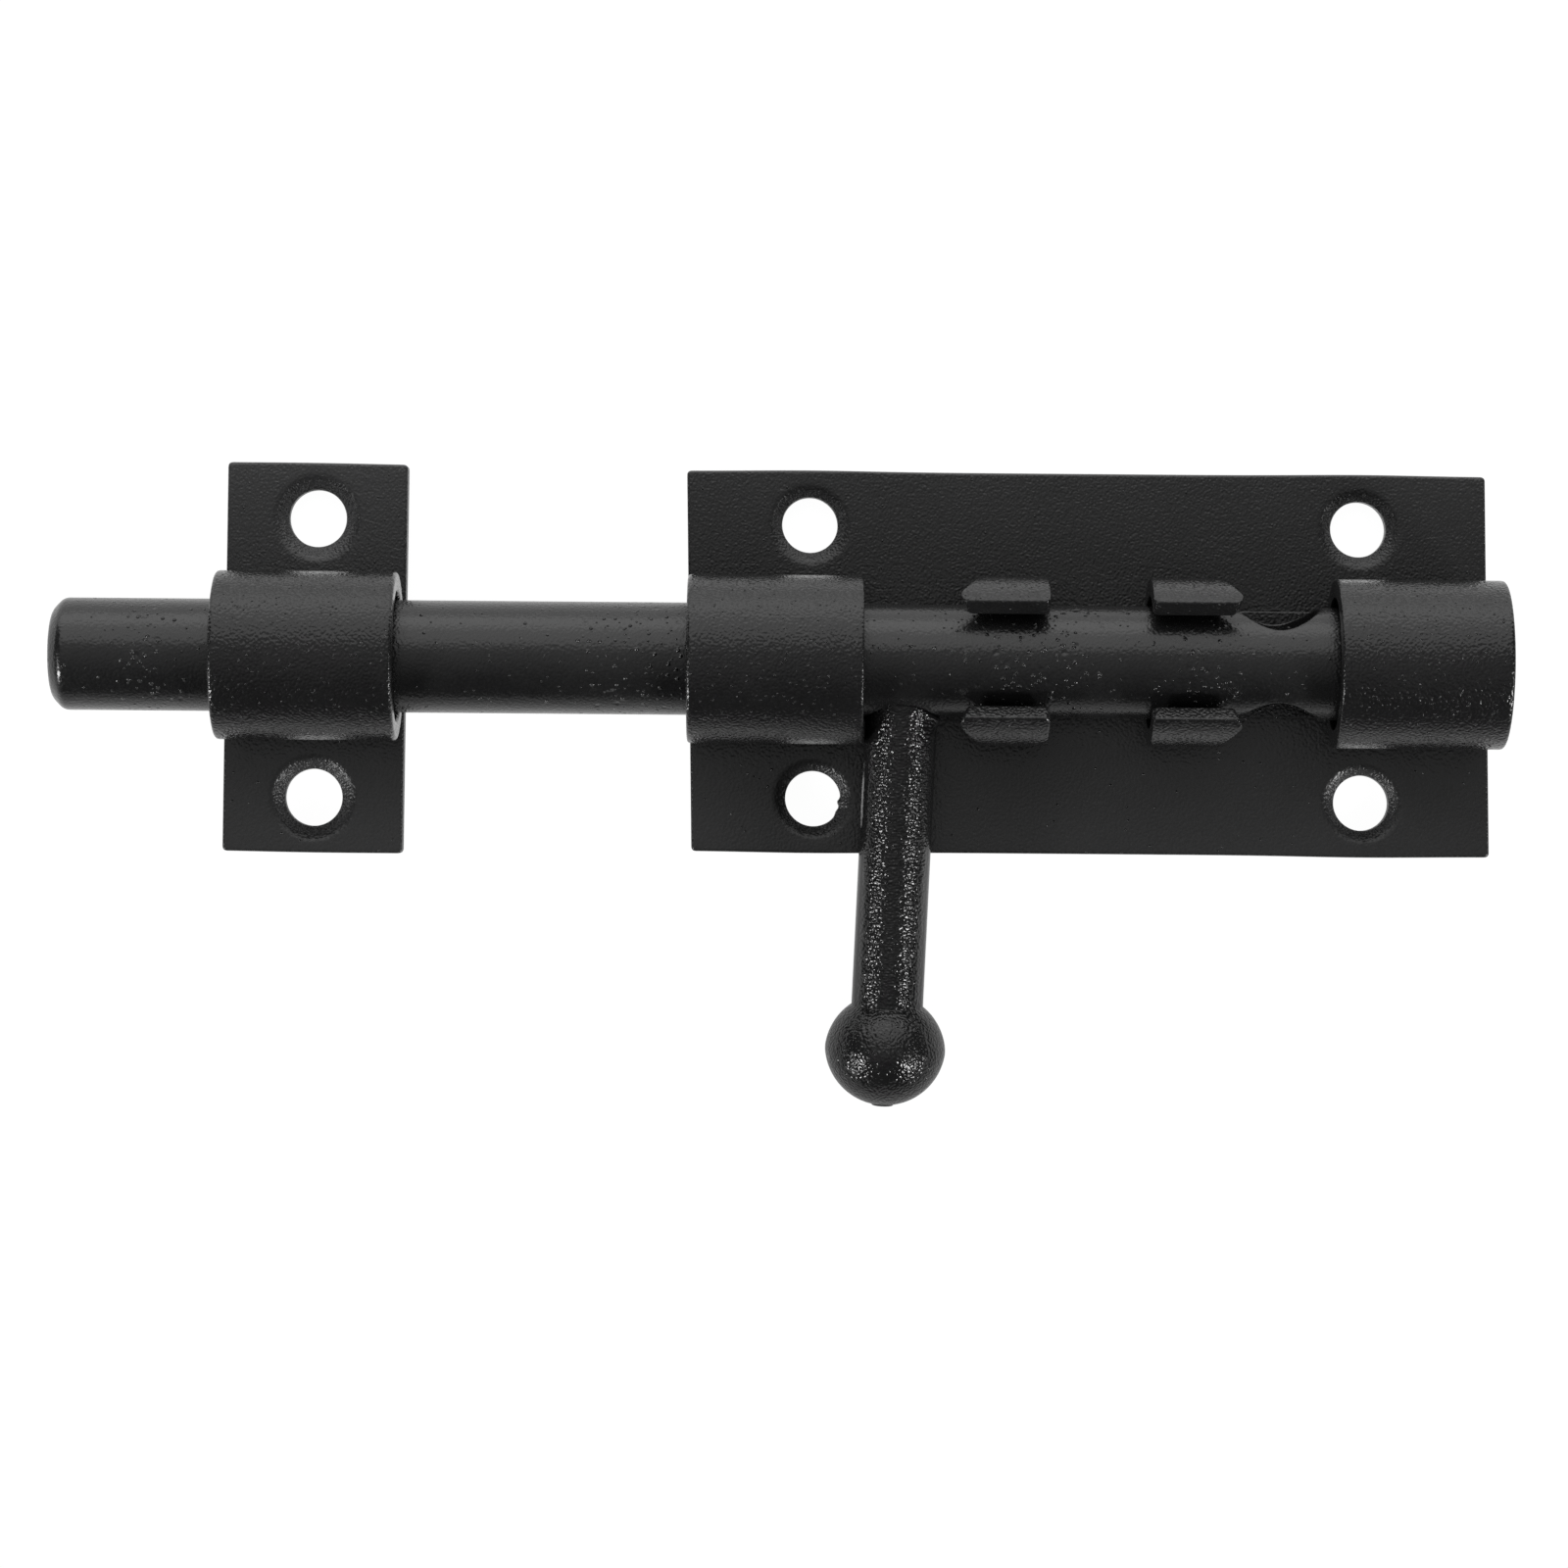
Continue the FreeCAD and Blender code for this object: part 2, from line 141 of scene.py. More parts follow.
class Shader:
    """The node tree of one material or of the world."""

    TILT_AXIS: ClassVar[tuple[float, float, float]] = (0.53, -0.31, 0.79)
    TILT: ClassVar[float] = 1.1

    def __init__(self, tree: bpy.types.NodeTree) -> None:
        """Empties the tree."""
        self.tree = tree
        tree.nodes.clear()

    @classmethod
    def of_material(cls, name: str) -> tuple[bpy.types.Material, "Shader"]:
        """A new material and its empty shader.

        Args:
            name: the material's name.

        Returns:
            The material and the shader.
        """
        material = bpy.data.materials.new(name)
        material.use_nodes = True
        return material, cls(material.node_tree)

    def node(
        self, kind: str, settings: dict[str, Any], sockets: dict[str | int, Any]
    ) -> Outputs:
        """Adds a node.

        Args:
            kind: the node's type.
            settings: its properties, set first.
            sockets: values or signals for its inputs, by name or number.

        Returns:
            The node's outputs.
        """
        node = self.tree.nodes.new(kind)
        for name, value in settings.items():
            setattr(node, name, value)
        for key, value in sockets.items():
            if isinstance(value, Signal):
                self.tree.links.new(value.socket, node.inputs[key])
            else:
                node.inputs[key].default_value = value
        return Outputs(self, node)

    def maths(self, operation: str, *values: Value) -> Signal:
        """The result of a Math node on the values."""
        sockets = dict(enumerate(values))
        return self.node("ShaderNodeMath", {"operation": operation}, sockets)["Value"]

    def parts(self, vector: Signal) -> Outputs:
        """The X, Y and Z of a vector."""
        return self.node("ShaderNodeSeparateXYZ", {}, {"Vector": vector})

    def place(self) -> Signal:
        """The place on the object, in metres."""
        return self.node("ShaderNodeTexCoord", {}, {})["Object"]

    def along(self, axis: str) -> Signal:
        """The place on the object along one axis, in metres."""
        return self.parts(self.place())[axis]

    def turned(self) -> Signal:
        """The place on the object, turned so that no pattern runs along the metal's faces.

        Returns:
            The turned place, in metres.
        """
        return self.node(
            "ShaderNodeVectorRotate", {},
            {"Vector": self.place(), "Axis": self.TILT_AXIS, "Angle": self.TILT},
        )["Vector"]

    def noise(self, size: float, detail: float, stretch: Vector | None = None) -> Signal:
        """Soft lumps.

        Args:
            size: the lumps' size in millimetres.
            detail: octaves of finer lumps.
            stretch: factors on the three axes.

        Returns:
            A value about 0.5.
        """
        if stretch is None:
            where = self.turned()
        else:
            where = self.node(
                "ShaderNodeVectorMath", {"operation": "MULTIPLY"}, {0: self.place(), 1: stretch}
            )["Vector"]
        return self.node(
            "ShaderNodeTexNoise", {},
            {"Vector": where, "Scale": 1 / (size * MM), "Detail": detail, "Roughness": 0.5},
        )["Fac"]

    def dots(self, spacing: float, radius: float, share: Value) -> Signal:
        """Scattered round dots.

        Args:
            spacing: mean distance between the cells that may hold a dot, in millimetres.
            radius: a dot's radius in millimetres.
            share: how many of the cells hold one, from 0 to 1.

        Returns:
            1 in the middle of a dot, 0 between the dots.
        """
        cells = self.node(
            "ShaderNodeTexVoronoi", {}, {"Vector": self.turned(), "Scale": 1 / (spacing * MM)}
        )
        chance = self.node("ShaderNodeSeparateColor", {}, {"Color": cells["Color"]})["Red"]
        chosen = self.maths("GREATER_THAN", chance, 1 - share)
        return (1 - cells["Distance"].between(0.0, radius / spacing)) * chosen

    def tint(self, amount: Signal, low: Colour, high: Colour) -> Signal:
        """A colour between two.

        Args:
            amount: 0 for the first colour, 1 for the second.
            low: the first colour.
            high: the second colour.

        Returns:
            The colour.
        """
        return self.node(
            "ShaderNodeMix", {"data_type": "RGBA"},
            {"Factor": amount, 6: (*low, 1.0), 7: (*high, 1.0)},
        )[2]


# Finishes, with sizes in millimetres


@dataclass(frozen=True)
class Dots:
    """Bumps scattered in a coat, in crowds and elsewhere; a pit has a height below 0."""

    spacing: float
    radius: float
    height: float
    elsewhere: float
    crowded: float = 0.0

    def relief(self, s: Shader, crowd: Value = 0.0) -> Signal:
        """How high the bumps stand where crowd goes from 0 to 1."""
        share = crowd * self.crowded + self.elsewhere
        return s.dots(self.spacing, self.radius, share) * self.height


@dataclass(frozen=True)
class PowderCoat:
    """Satin black powder coat on steel."""

    name: str
    tone: float = 0.0085
    tone_spread: float = 0.36
    cast: Colour = (1.0, 1.0, 1.02)
    gloss: float = 0.34
    cloud: float = 9.0
    cloud_gloss: float = 0.1
    cloud_shade: float = 0.5
    grain: float = 0.3
    grain_depth: float = 0.05
    grain_gloss: float = 0.12
    grain_shade: float = 0.2
    peel: float = 1.1
    peel_depth: float = 0.008
    peel_shade: float = 0.3
    shade_range: Point = (0.3, 0.7)
    specks: Dots = Dots(0.6, 0.145, 0.12, 0.06)
    index: float = 1.5

    def relief(self, s: Shader) -> Signal:
        """What stands out of the grain, in millimetres: specks of dust under the coat."""
        return self.specks.relief(s)

    def dullness(self, s: Shader) -> Value:
        """What is added to the roughness in places: nothing."""
        return 0.0

    def painted_light(self, s: Shader) -> Value:
        """Painted light or shade added to the colour in places: none."""
        return 0.0

    def make(self) -> bpy.types.Material:
        """Builds the material.

        Returns:
            The material.
        """
        material, s = Shader.of_material(self.name)
        grain = s.noise(self.grain, 0.0)
        peel = s.noise(self.peel, 1.0)
        cloud = s.noise(self.cloud, 2.0)
        height = grain * self.grain_depth + peel * self.peel_depth + self.relief(s)
        bump = s.node(
            "ShaderNodeBump", {}, {"Strength": 1.0, "Distance": MM, "Height": height}
        )["Normal"]
        shade = cloud * self.cloud_shade + peel * self.peel_shade + grain * self.grain_shade
        darkest = 1 - self.tone_spread / 2
        factor = shade.between(*self.shade_range) * self.tone_spread + darkest
        # painted light, which only the plates have, is added to the colour here
        level = factor * self.tone + self.painted_light(s)
        uneven = (cloud - 0.5) * self.cloud_gloss + (grain - 0.5) * self.grain_gloss
        coat = s.node(
            "ShaderNodeBsdfPrincipled", {},
            {
                "Base Color": s.tint(level, BLACK, self.cast),
                "Roughness": uneven + self.gloss + self.dullness(s),
                "Normal": bump,
                "IOR": self.index,
            },
        )["BSDF"]
        s.node("ShaderNodeOutputMaterial", {}, {"Surface": coat})
        return material


@dataclass(frozen=True)
class PlateCoat(PowderCoat):
    """Powder coat on a plate, sandier on the side away from the handle, with painted light in its
    colour.
    """

    sand: float = 0.24
    sand_depth: float = 0.045
    sandy_from: Point = (-2.0, 6.0)
    # painted light: how much paler the sandy side is drawn, where more light falls
    side_painted_light: float = 0.0
    # painted shade: the plate is drawn paler from here towards its long edges, so darker by the
    # tube
    edge_from: Point = (9.0, 21.0)
    edge_painted_light: float = 0.008
    recess_from: Point = (PLATE_FACE - 0.5, PLATE_FACE - 0.04)
    recess_sand: float = 3.0
    recess_dullness: float = 0.12
    # painted light: how much paler the countersinks and the edges below the face are drawn, lifting
    # their shade
    recess_painted_light: float = 0.014

    def relief(self, s: Shader) -> Signal:
        """Specks, and more grain on one side and in the recesses."""
        share = self.side(s) + self.recess(s) * self.recess_sand
        return s.noise(self.sand, 0.0) * share * self.sand_depth + super().relief(s)

    def dullness(self, s: Shader) -> Value:
        """The coat is thinner and duller in the recesses."""
        return self.recess(s) * self.recess_dullness

    def painted_light(self, s: Shader) -> Value:
        """Painted light and shade: the colour is drawn paler in the recesses, towards the long
        edges and on the sandy side, and so darker by the tube.

        Args:
            s: the coat's shader.

        Returns:
            What is added to the colour as painted light.
        """
        # painted light by place: paler towards the long edges, on the sandy side and in the
        # recesses; darker by the tube
        low, high = self.edge_from
        edge = s.maths("ABSOLUTE", s.along("Y")).between(low * MM, high * MM)
        recess = self.recess(s) * self.recess_painted_light
        return recess + edge * self.edge_painted_light + self.side(s) * self.side_painted_light

    def side(self, s: Shader) -> Signal:
        """1 on the side away from the handle."""
        low, high = self.sandy_from
        return s.along("Y").between(low * MM, high * MM)

    def recess(self, s: Shader) -> Signal:
        """1 below the plate's face, which is in the countersinks and on the edges."""
        low, high = self.recess_from
        return 1 - s.along("Z").between(low * MM, high * MM)


@dataclass(frozen=True)
class PittedCoat(PowderCoat):
    """Powder coat on a drawn bar, smooth but for pits and pimples that crowd in places."""

    crowds: tuple[Point, ...] = ((-48.0, 9.0), (-6.0, 10.0), (12.0, 7.0), (-100.0, 5.0))
    specks: Dots = Dots(0.5, 0.15, 0.12, 0.1, 0.3)
    pimples: Dots = Dots(0.8, 0.26, 0.17, 0.05, 0.5)
    pits: Dots = Dots(1.5, 0.45, -0.07, 0.0, 0.4)

    def relief(self, s: Shader) -> Signal:
        """Pimples, pits and specks, the more so near the middles of the crowds.

        Args:
            s: the coat's shader.

        Returns:
            Their height in millimetres.
        """
        along = s.along("X")
        crowd: Value = 0.0
        for middle, half in self.crowds:
            left = along.between((middle - half) * MM, middle * MM)
            right = along.between(middle * MM, (middle + half) * MM)
            crowd = left - right + crowd
        pitted = self.pimples.relief(s, crowd) + self.pits.relief(s, crowd)
        return pitted + self.specks.relief(s, crowd)


@dataclass(frozen=True)
class TurnedCoat(PowderCoat):
    """Powder coat on a turned bar, whose tool marks show through up to its ball."""

    mark: float = 0.24
    mark_depth: float = 0.12
    mark_stretch: tuple[float, float, float] = (0.6, 1.0, 0.6)
    bar_grain: float = 0.05
    ball_grain: float = 0.09
    bar_until: Point = (-37.0, -36.0)
    marked_from: Point = (1.7, 2.6)

    def relief(self, s: Shader) -> Signal:
        """The tool marks and the grain, which the coat fills on the bar's flanks.

        Args:
            s: the coat's shader.

        Returns:
            Their height in millimetres.
        """
        marks = s.noise(self.mark, 0.0, Vector(self.mark_stretch))
        grain = s.noise(self.grain, 0.0)
        place = s.parts(s.place())
        bar = place["Y"].between(self.bar_until[0] * MM, self.bar_until[1] * MM)
        slope = math.tan(math.radians(DROOP))
        rise = s.maths("ABSOLUTE", place["Z"] - place["Y"] * slope - ROD_AXIS * MM)
        marked = rise.between(self.marked_from[0] * MM, self.marked_from[1] * MM) * bar
        rough = (marks * self.mark_depth + grain * self.bar_grain) * marked
        return rough + grain * (1 - bar) * self.ball_grain


# Meshes, in millimetres


CORNER_SHARE = 0.45  # how much of a side each of its soft corners may take
CORNER_STEPS = 5  # pieces in an outline's soft corner


def bell(distance: float, width: float) -> float:
    """1 at no distance, falling away over the width."""
    return math.exp(-((distance / width) ** 2))


def wrapped(turn: float) -> float:
    """The same angle, between half a turn back and half a turn on."""
    return (turn + math.pi) % (2 * math.pi) - math.pi


def once_round() -> list[float]:
    """Angles round a bar or tube, from its underside back to its underside."""
    return [math.pi - 2 * math.pi * k / BAR_SIDES for k in range(BAR_SIDES + 1)]


@dataclass(frozen=True)
class Skin:
    """One face of a sheet of metal, flat or rolled round an axis along the bolt.

    A place on it is given by u along the bolt and v across it, measured along the skin.
    """

    level: float
    radius: float = 0.0
    lowest: float = -1000.0

    def place(self, u: float, v: float) -> Vector:
        """A place on the skin, as a point in space.

        Args:
            u: its distance along the bolt.
            v: its distance across, measured along the skin.

        Returns:
            The point.
        """
        if not self.radius:
            return Vector((u, v, self.level))
        angle = v / self.radius
        height = self.level + self.radius * math.cos(angle)
        return Vector((u, self.radius * math.sin(angle), max(height, self.lowest)))


def bend(before: Vector, corner: Vector, after: Vector, steps: int) -> list[Vector]:
    """A soft curve that is drawn to a corner.

    Args:
        before: its start.
        corner: the corner.
        after: its end.
        steps: its pieces.

    Returns:
        The curve's points, one more than its pieces.
    """
    return [
        before * (1 - t) ** 2 + corner * (2 * t * (1 - t)) + after * t * t
        for t in (i / steps for i in range(steps + 1))
    ]


def towards(start: Vector, end: Vector, reach: float, share: float) -> Vector:
    """Goes from one point towards another.

    Args:
        start: the first point.
        end: the other point.
        reach: how far to go.
        share: the most that it may be of the whole way.

    Returns:
        The point that is reached.
    """
    way = end - start
    length = way.length
    return start + way * (min(reach / length, share) if length else 0)


def soft_path(corners: list[Vector], radii: list[float], steps: int = 3) -> list[Vector]:
    """A path in space with soft corners.

    Args:
        corners: the path's points, from its start to its end.
        radii: how far before and after each inner corner the curve starts.
        steps: pieces in each curve.

    Returns:
        The points of the soft path, with the same number for the same number of corners.
    """
    path = []
    last = len(corners) - 2
    for i, reach in enumerate(radii, start=1):
        before_share = 1.0 if i == 1 else CORNER_SHARE
        after_share = 1.0 if i == last else CORNER_SHARE
        before = towards(corners[i], corners[i - 1], reach, before_share)
        after = towards(corners[i], corners[i + 1], reach, after_share)
        path += bend(before, corners[i], after, steps)
    return path


def soft_loop(corners: list[tuple[float, float, float]], counts: list[int]) -> list[Point]:
    """A closed outline with soft corners.

    Args:
        corners: u, v and the reach of each corner's curve.
        counts: pieces of the straight side after each corner.

    Returns:
        The outline's points.
    """
    flat = [Vector((u, v)) for u, v, _ in corners]
    loop: list[Point] = []
    for i, (_, _, reach) in enumerate(corners):
        following = (i + 1) % len(flat)
        ahead, behind = flat[following], flat[i - 1]
        before = towards(flat[i], behind, reach, CORNER_SHARE)
        after = towards(flat[i], ahead, reach, CORNER_SHARE)
        end = towards(ahead, flat[i], corners[following][2], CORNER_SHARE)
        loop += [tuple(p) for p in bend(before, flat[i], after, CORNER_STEPS)]
        loop += [tuple(after.lerp(end, k / counts[i])) for k in range(1, counts[i])]
    return loop


def inset(loop: list[Point], distance: float, closed: bool) -> list[Point]:
    """The line at a distance to the left of an outline, which is where its metal lies.

    Args:
        loop: the outline's points.
        distance: how far to the left; less than 0 is to the right.
        closed: whether the last point meets the first.

    Returns:
        The line's points, as many as the outline has.
    """
    p = np.array(loop)
    if closed:
        way = np.roll(p, -1, 0) - np.roll(p, 1, 0)
    else:
        way = np.gradient(p, axis=0)
    way /= np.linalg.norm(way, axis=1)[:, None]
    return [tuple(q) for q in p + np.stack([-way[:, 1], way[:, 0]], 1) * distance]


def enclosed(points: np.ndarray, loops: list[list[Point]]) -> np.ndarray:
    """Tests which points lie inside the outer outline and outside the inner ones.

    Args:
        points: the points, one a row.
        loops: the outlines.

    Returns:
        True or False for each point.
    """
    odd = np.zeros(len(points), bool)
    x, y = points[:, 0], points[:, 1]
    for loop in loops:
        for (x0, y0), (x1, y1) in zip(loop, loop[1:] + loop[:1]):
            if y0 != y1:
                crossing = (x1 - x0) * (y - y0) / (y1 - y0) + x0
                odd ^= ((y0 > y) != (y1 > y)) & (x < crossing)
    return odd


class Draft:
    """Points and the faces between them, before they become a mesh."""

    MERGED: ClassVar[float] = 0.002
    THINNEST: ClassVar[float] = 0.0005
    CLEAR_SHARE: ClassVar[float] = 0.45
    FLATNESS: ClassVar[int] = 80

    def __init__(self) -> None:
        """Starts with nothing."""
        self.points: list[Vector] = []
        self.faces: list[tuple[int, ...]] = []

    def weave(self, rows: list[list[Vector]], closed: bool) -> None:
        """Faces between rows of points of one length.

        Args:
            rows: the rows, side by side.
            closed: whether the last row meets the first.
        """
        first, width = len(self.points), len(rows[0])
        for row in rows:
            self.points += row
        for i in range(len(rows) if closed else len(rows) - 1):
            a, b = first + i * width, first + (i + 1) % len(rows) * width
            self.faces += [(a + k, b + k, b + k + 1, a + k + 1) for k in range(width - 1)]

    def spread(self, skin: Skin, loops: list[list[Point]], step: float) -> None:
        """Covers what the outlines enclose on a skin.

        Args:
            skin: the face of the sheet.
            loops: the outer outline and the inner ones.
            step: the mesh's fineness.
        """
        border = np.array([p for loop in loops for p in loop])
        low, high = border.min(0), border.max(0)
        count = np.maximum(((high - low) / step).astype(int), 1)
        lines = [np.linspace(low[k], high[k], count[k] + 1)[1:-1] for k in (0, 1)]
        grid = np.stack(np.meshgrid(*lines), -1).reshape(-1, 2)
        grid = grid[enclosed(grid, loops)]
        away = np.array([np.abs(border - p).max(1).min() for p in grid])
        grid = grid[away > step * self.CLEAR_SHARE] if len(grid) else grid
        flat = [Vector(p) for p in np.concatenate([border, grid])]
        edges, start = [], 0
        for loop in loops:
            n = len(loop)
            edges += [(start + k, start + (k + 1) % n) for k in range(n)]
            start += n
        verts, _, faces, *_ = delaunay_2d_cdt(flat, edges, [], 1, 1e-7)
        middles = np.array([np.mean([verts[i] for i in f], 0) for f in faces])
        first = len(self.points)
        self.points += [skin.place(*v) for v in verts]
        for face, kept in zip(faces, enclosed(middles, loops)):
            if kept:
                self.faces.append(tuple(first + i for i in face))

    def make(self, name: str, matrix: Matrix | None = None) -> bpy.types.Object:
        """Turns the draft into an object.

        Args:
            name: the object's name.
            matrix: where the draft goes.

        Returns:
            The object, closed, smooth and in metres.
        """
        bm = bmesh.new()
        verts = [bm.verts.new(p) for p in self.points]
        for face in self.faces:
            bm.faces.new([verts[i] for i in face])
        bmesh.ops.remove_doubles(bm, verts=bm.verts, dist=self.MERGED)
        bmesh.ops.dissolve_degenerate(bm, edges=bm.edges, dist=self.THINNEST)
        bmesh.ops.recalc_face_normals(bm, faces=bm.faces)
        loose = sum(1 for e in bm.edges if len(e.link_faces) != 2)
        if loose:
            log.warning("%s has %d open edges", name, loose)
        bm.transform(Matrix.Scale(MM, 4) @ (matrix or Matrix.Identity(4)))
        mesh = bpy.data.meshes.new(name)
        bm.to_mesh(mesh)
        bm.free()
        mesh.shade_smooth()
        thing = bpy.data.objects.new(name, mesh)
        bpy.context.scene.collection.objects.link(thing)
        weighted = thing.modifiers.new("flat faces stay flat", "WEIGHTED_NORMAL")
        weighted.weight = self.FLATNESS
        return thing


@dataclass
class Rim:
    """A cut edge of a sheet, rounded where it leaves each skin."""

    near: Skin
    near_loop: list[Point]
    far: Skin
    far_loop: list[Point]
    near_round: float = 0.3
    far_round: float = 0.25
    closed: bool = True
    turned: bool = False
    steps: list[list[Vector]] = field(default_factory=list)
    step_round: float = 0.15

    def build(self, draft: Draft) -> tuple[list[Point], list[Point]]:
        """Adds the edge.

        Args:
            draft: takes the faces.

        Returns:
            The outlines at which the near and the far skin start.
        """
        far_side = -self.far_round if self.turned else self.far_round
        near_start = inset(self.near_loop, self.near_round, self.closed)
        far_start = inset(self.far_loop, far_side, self.closed)
        rows = []
        for k, (a, b) in enumerate(zip(self.near_loop, self.far_loop)):
            middle = self.steps[k] if self.steps else []
            corners = [
                self.near.place(*near_start[k]), self.near.place(*a), *middle,
                self.far.place(*b), self.far.place(*far_start[k]),
            ]
            radii = [self.near_round, *[self.step_round] * len(middle), self.far_round]
            rows.append(soft_path(corners, radii))
        draft.weave(rows, self.closed)
        return near_start, far_start


# The padbolt's pieces, in millimetres


class Piece(ABC):
    """A piece of the padbolt, which stands for the plain node of the same name."""

    node: str
    slot: ClassVar[Slot]
    carrier: ClassVar[Carrier]

    @abstractmethod
    def build(self) -> bpy.types.Object:
        """Builds the piece's mesh."""

    def dress(self, thing: bpy.types.Object, coat: bpy.types.Material) -> None:
        """Gives the piece its finish, its plain node and what it moves with.

        Args:
            thing: the piece.
            coat: its material.
        """
        thing.data.materials.append(coat)
        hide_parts(self.node)
        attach(thing, self.carrier.value)


@dataclass
class Screw:
    """A countersunk screw hole, in which a burr of paint may stand."""

    x: float
    y: float
    radius: float
    mouth: float
    burr: float = 0.0
    lumps: ClassVar[tuple[tuple[float, float, float], ...]] = (
        (-0.12, 0.13, 1.0), (-0.5, 0.16, 0.5)
    )
    neck_share: ClassVar[float] = 0.75

    def rim(self, top: Skin, back: Skin) -> Rim:
        """The hole's wall.

        Args:
            top: the plate's front.
            back: the plate's back.

        Returns:
            The wall, from front to back.
        """
        turns = [-2 * math.pi * k / HOLE_SIDES for k in range(HOLE_SIDES)]
        bore = [self.radius - self.burr * self.lump(a) for a in turns]
        neck = top.level - (self.mouth - self.radius) * self.neck_share
        return Rim(
            top, [self.spot(a, self.mouth) for a in turns],
            back, [self.spot(a, r) for a, r in zip(turns, bore)],
            near_round=0.45, far_round=0.15,
            steps=[[Vector((*self.spot(a, r), neck))] for a, r in zip(turns, bore)],
        )

    def spot(self, turn: float, radius: float) -> Point:
        """The place at an angle and a distance from the hole's middle."""
        return self.x + radius * math.cos(turn), self.y + radius * math.sin(turn)

    def lump(self, turn: float) -> float:
        """How far a burr of paint stands into the hole, from 0 to 1."""
        turn = wrapped(turn)
        return sum(size * bell(turn - at, width) for at, width, size in self.lumps)


@dataclass
class Plate(Piece):
    """A flat plate with countersunk screw holes."""

    node: str
    left: float
    right: float
    half_width: float
    screws: list[Screw]
    thickness: float = PLATE_FACE
    corner: float = 0.55
    front_round: float = 0.32
    back_round: float = 0.2
    dip: float = 0.14
    bulge: float = 9.0
    bulge_depth: float = 1.5
    front_step: float = 1.6
    back_step: float = 3.0
    skew: float = 0.0
    turn: float = 0.0
    slot: ClassVar[Slot] = Slot.PLATE
    carrier: ClassVar[Carrier] = Carrier.PLATES

    def build(self) -> bpy.types.Object:
        """Builds the plate, whose long edges stand out a little beside the screw holes.

        Returns:
            The plate.
        """
        top, back = Skin(self.thickness), Skin(0.0)
        draft = Draft()
        corners = [
            (self.left, -self.half_width, self.corner),
            (self.right, -self.half_width, self.corner),
            (self.right, self.half_width, self.corner),
            (self.left, self.half_width, self.corner),
        ]
        along, across = int(self.right - self.left), int(2 * self.half_width)
        edge = [self.pressed(p) for p in soft_loop(corners, [along, across, along, across])]
        rim = Rim(top, edge, back, edge, self.front_round, self.back_round)
        loops = [[loop] for loop in rim.build(draft)]
        for screw in self.screws:
            for side, loop in zip(loops, screw.rim(top, back).build(draft)):
                side.append(loop)
        draft.spread(top, loops[0], self.front_step)
        draft.spread(back, loops[1], self.back_step)
        return draft.make(f"{self.node}_coated", self.set_down())

    def set_down(self) -> Matrix:
        """Where the plate lies: turned and skewed a little, as the real one is.

        Returns:
            The matrix that takes it there.
        """
        middle = (self.left + self.right) / 2
        skew = Matrix.Identity(4)
        skew[0][1] = -self.skew
        return (
            Matrix.Translation((middle, 0, 0)) @ Matrix.Rotation(math.radians(self.turn), 4, "Z")
            @ Matrix.Translation((-middle, 0, 0)) @ skew
        )

    def pressed(self, spot: Point) -> Point:
        """Moves a point of the outline as the countersinks have pushed the edge out.

        Args:
            spot: the point.

        Returns:
            Where it lies.
        """
        u, v = spot
        push = max(bell(u - s.x, self.bulge) for s in self.screws)
        inside = (abs(v) - self.half_width + self.bulge_depth) / self.bulge_depth
        return u, v - math.copysign(self.dip * (1 - push) * min(max(inside, 0), 1), v)


@dataclass
class Tube(Piece):
    """A length of tube along the bolt, pressed flat where it is welded to its plate."""

    node: str
    left: float
    right: float
    outside: float = 9.0
    inside: float = 7.0
    outer_round: float = 0.45
    inner_round: float = 0.3
    outer_step: float = 0.8
    inner_step: float = 0.9
    slot: ClassVar[Slot] = Slot.TUBE
    carrier: ClassVar[Carrier] = Carrier.PLATES

    def skins(self) -> tuple[Skin, Skin]:
        """The tube's outside and its bore."""
        return Skin(BORE_AXIS, self.outside, PLATE_FACE), Skin(BORE_AXIS, self.inside)

    def cuts(self) -> list[Rim]:
        """The rims of what is cut out of the tube: none."""
        return []

    def build(self) -> bpy.types.Object:
        """Builds the tube.

        Returns:
            The tube.
        """
        draft = Draft()
        outer, inner = self.skins()
        turns = once_round()
        ends = []
        for x, way in ((self.left, turns), (self.right, turns[::-1])):
            rim = Rim(
                outer, [(x, a * self.outside) for a in way],
                inner, [(x, a * self.inside) for a in way],
                self.outer_round, self.inner_round, closed=False,
            )
            ends.append(rim.build(draft))
        holes = [rim.build(draft) for rim in self.cuts()]
        skins = (outer, self.outer_step), (inner, self.inner_step)
        for side, (skin, step) in enumerate(skins):
            left, right = ends[0][side], ends[1][side]
            pieces = int((self.right - self.left) / step)
            seam = np.linspace(left[0][0], right[0][0], pieces)[1:-1]
            v = math.pi * skin.radius
            border = left + [(u, -v) for u in seam] + right + [(u, v) for u in seam[::-1]]
            draft.spread(skin, [border] + [hole[side] for hole in holes], step)
        return draft.make(f"{self.node}_coated")


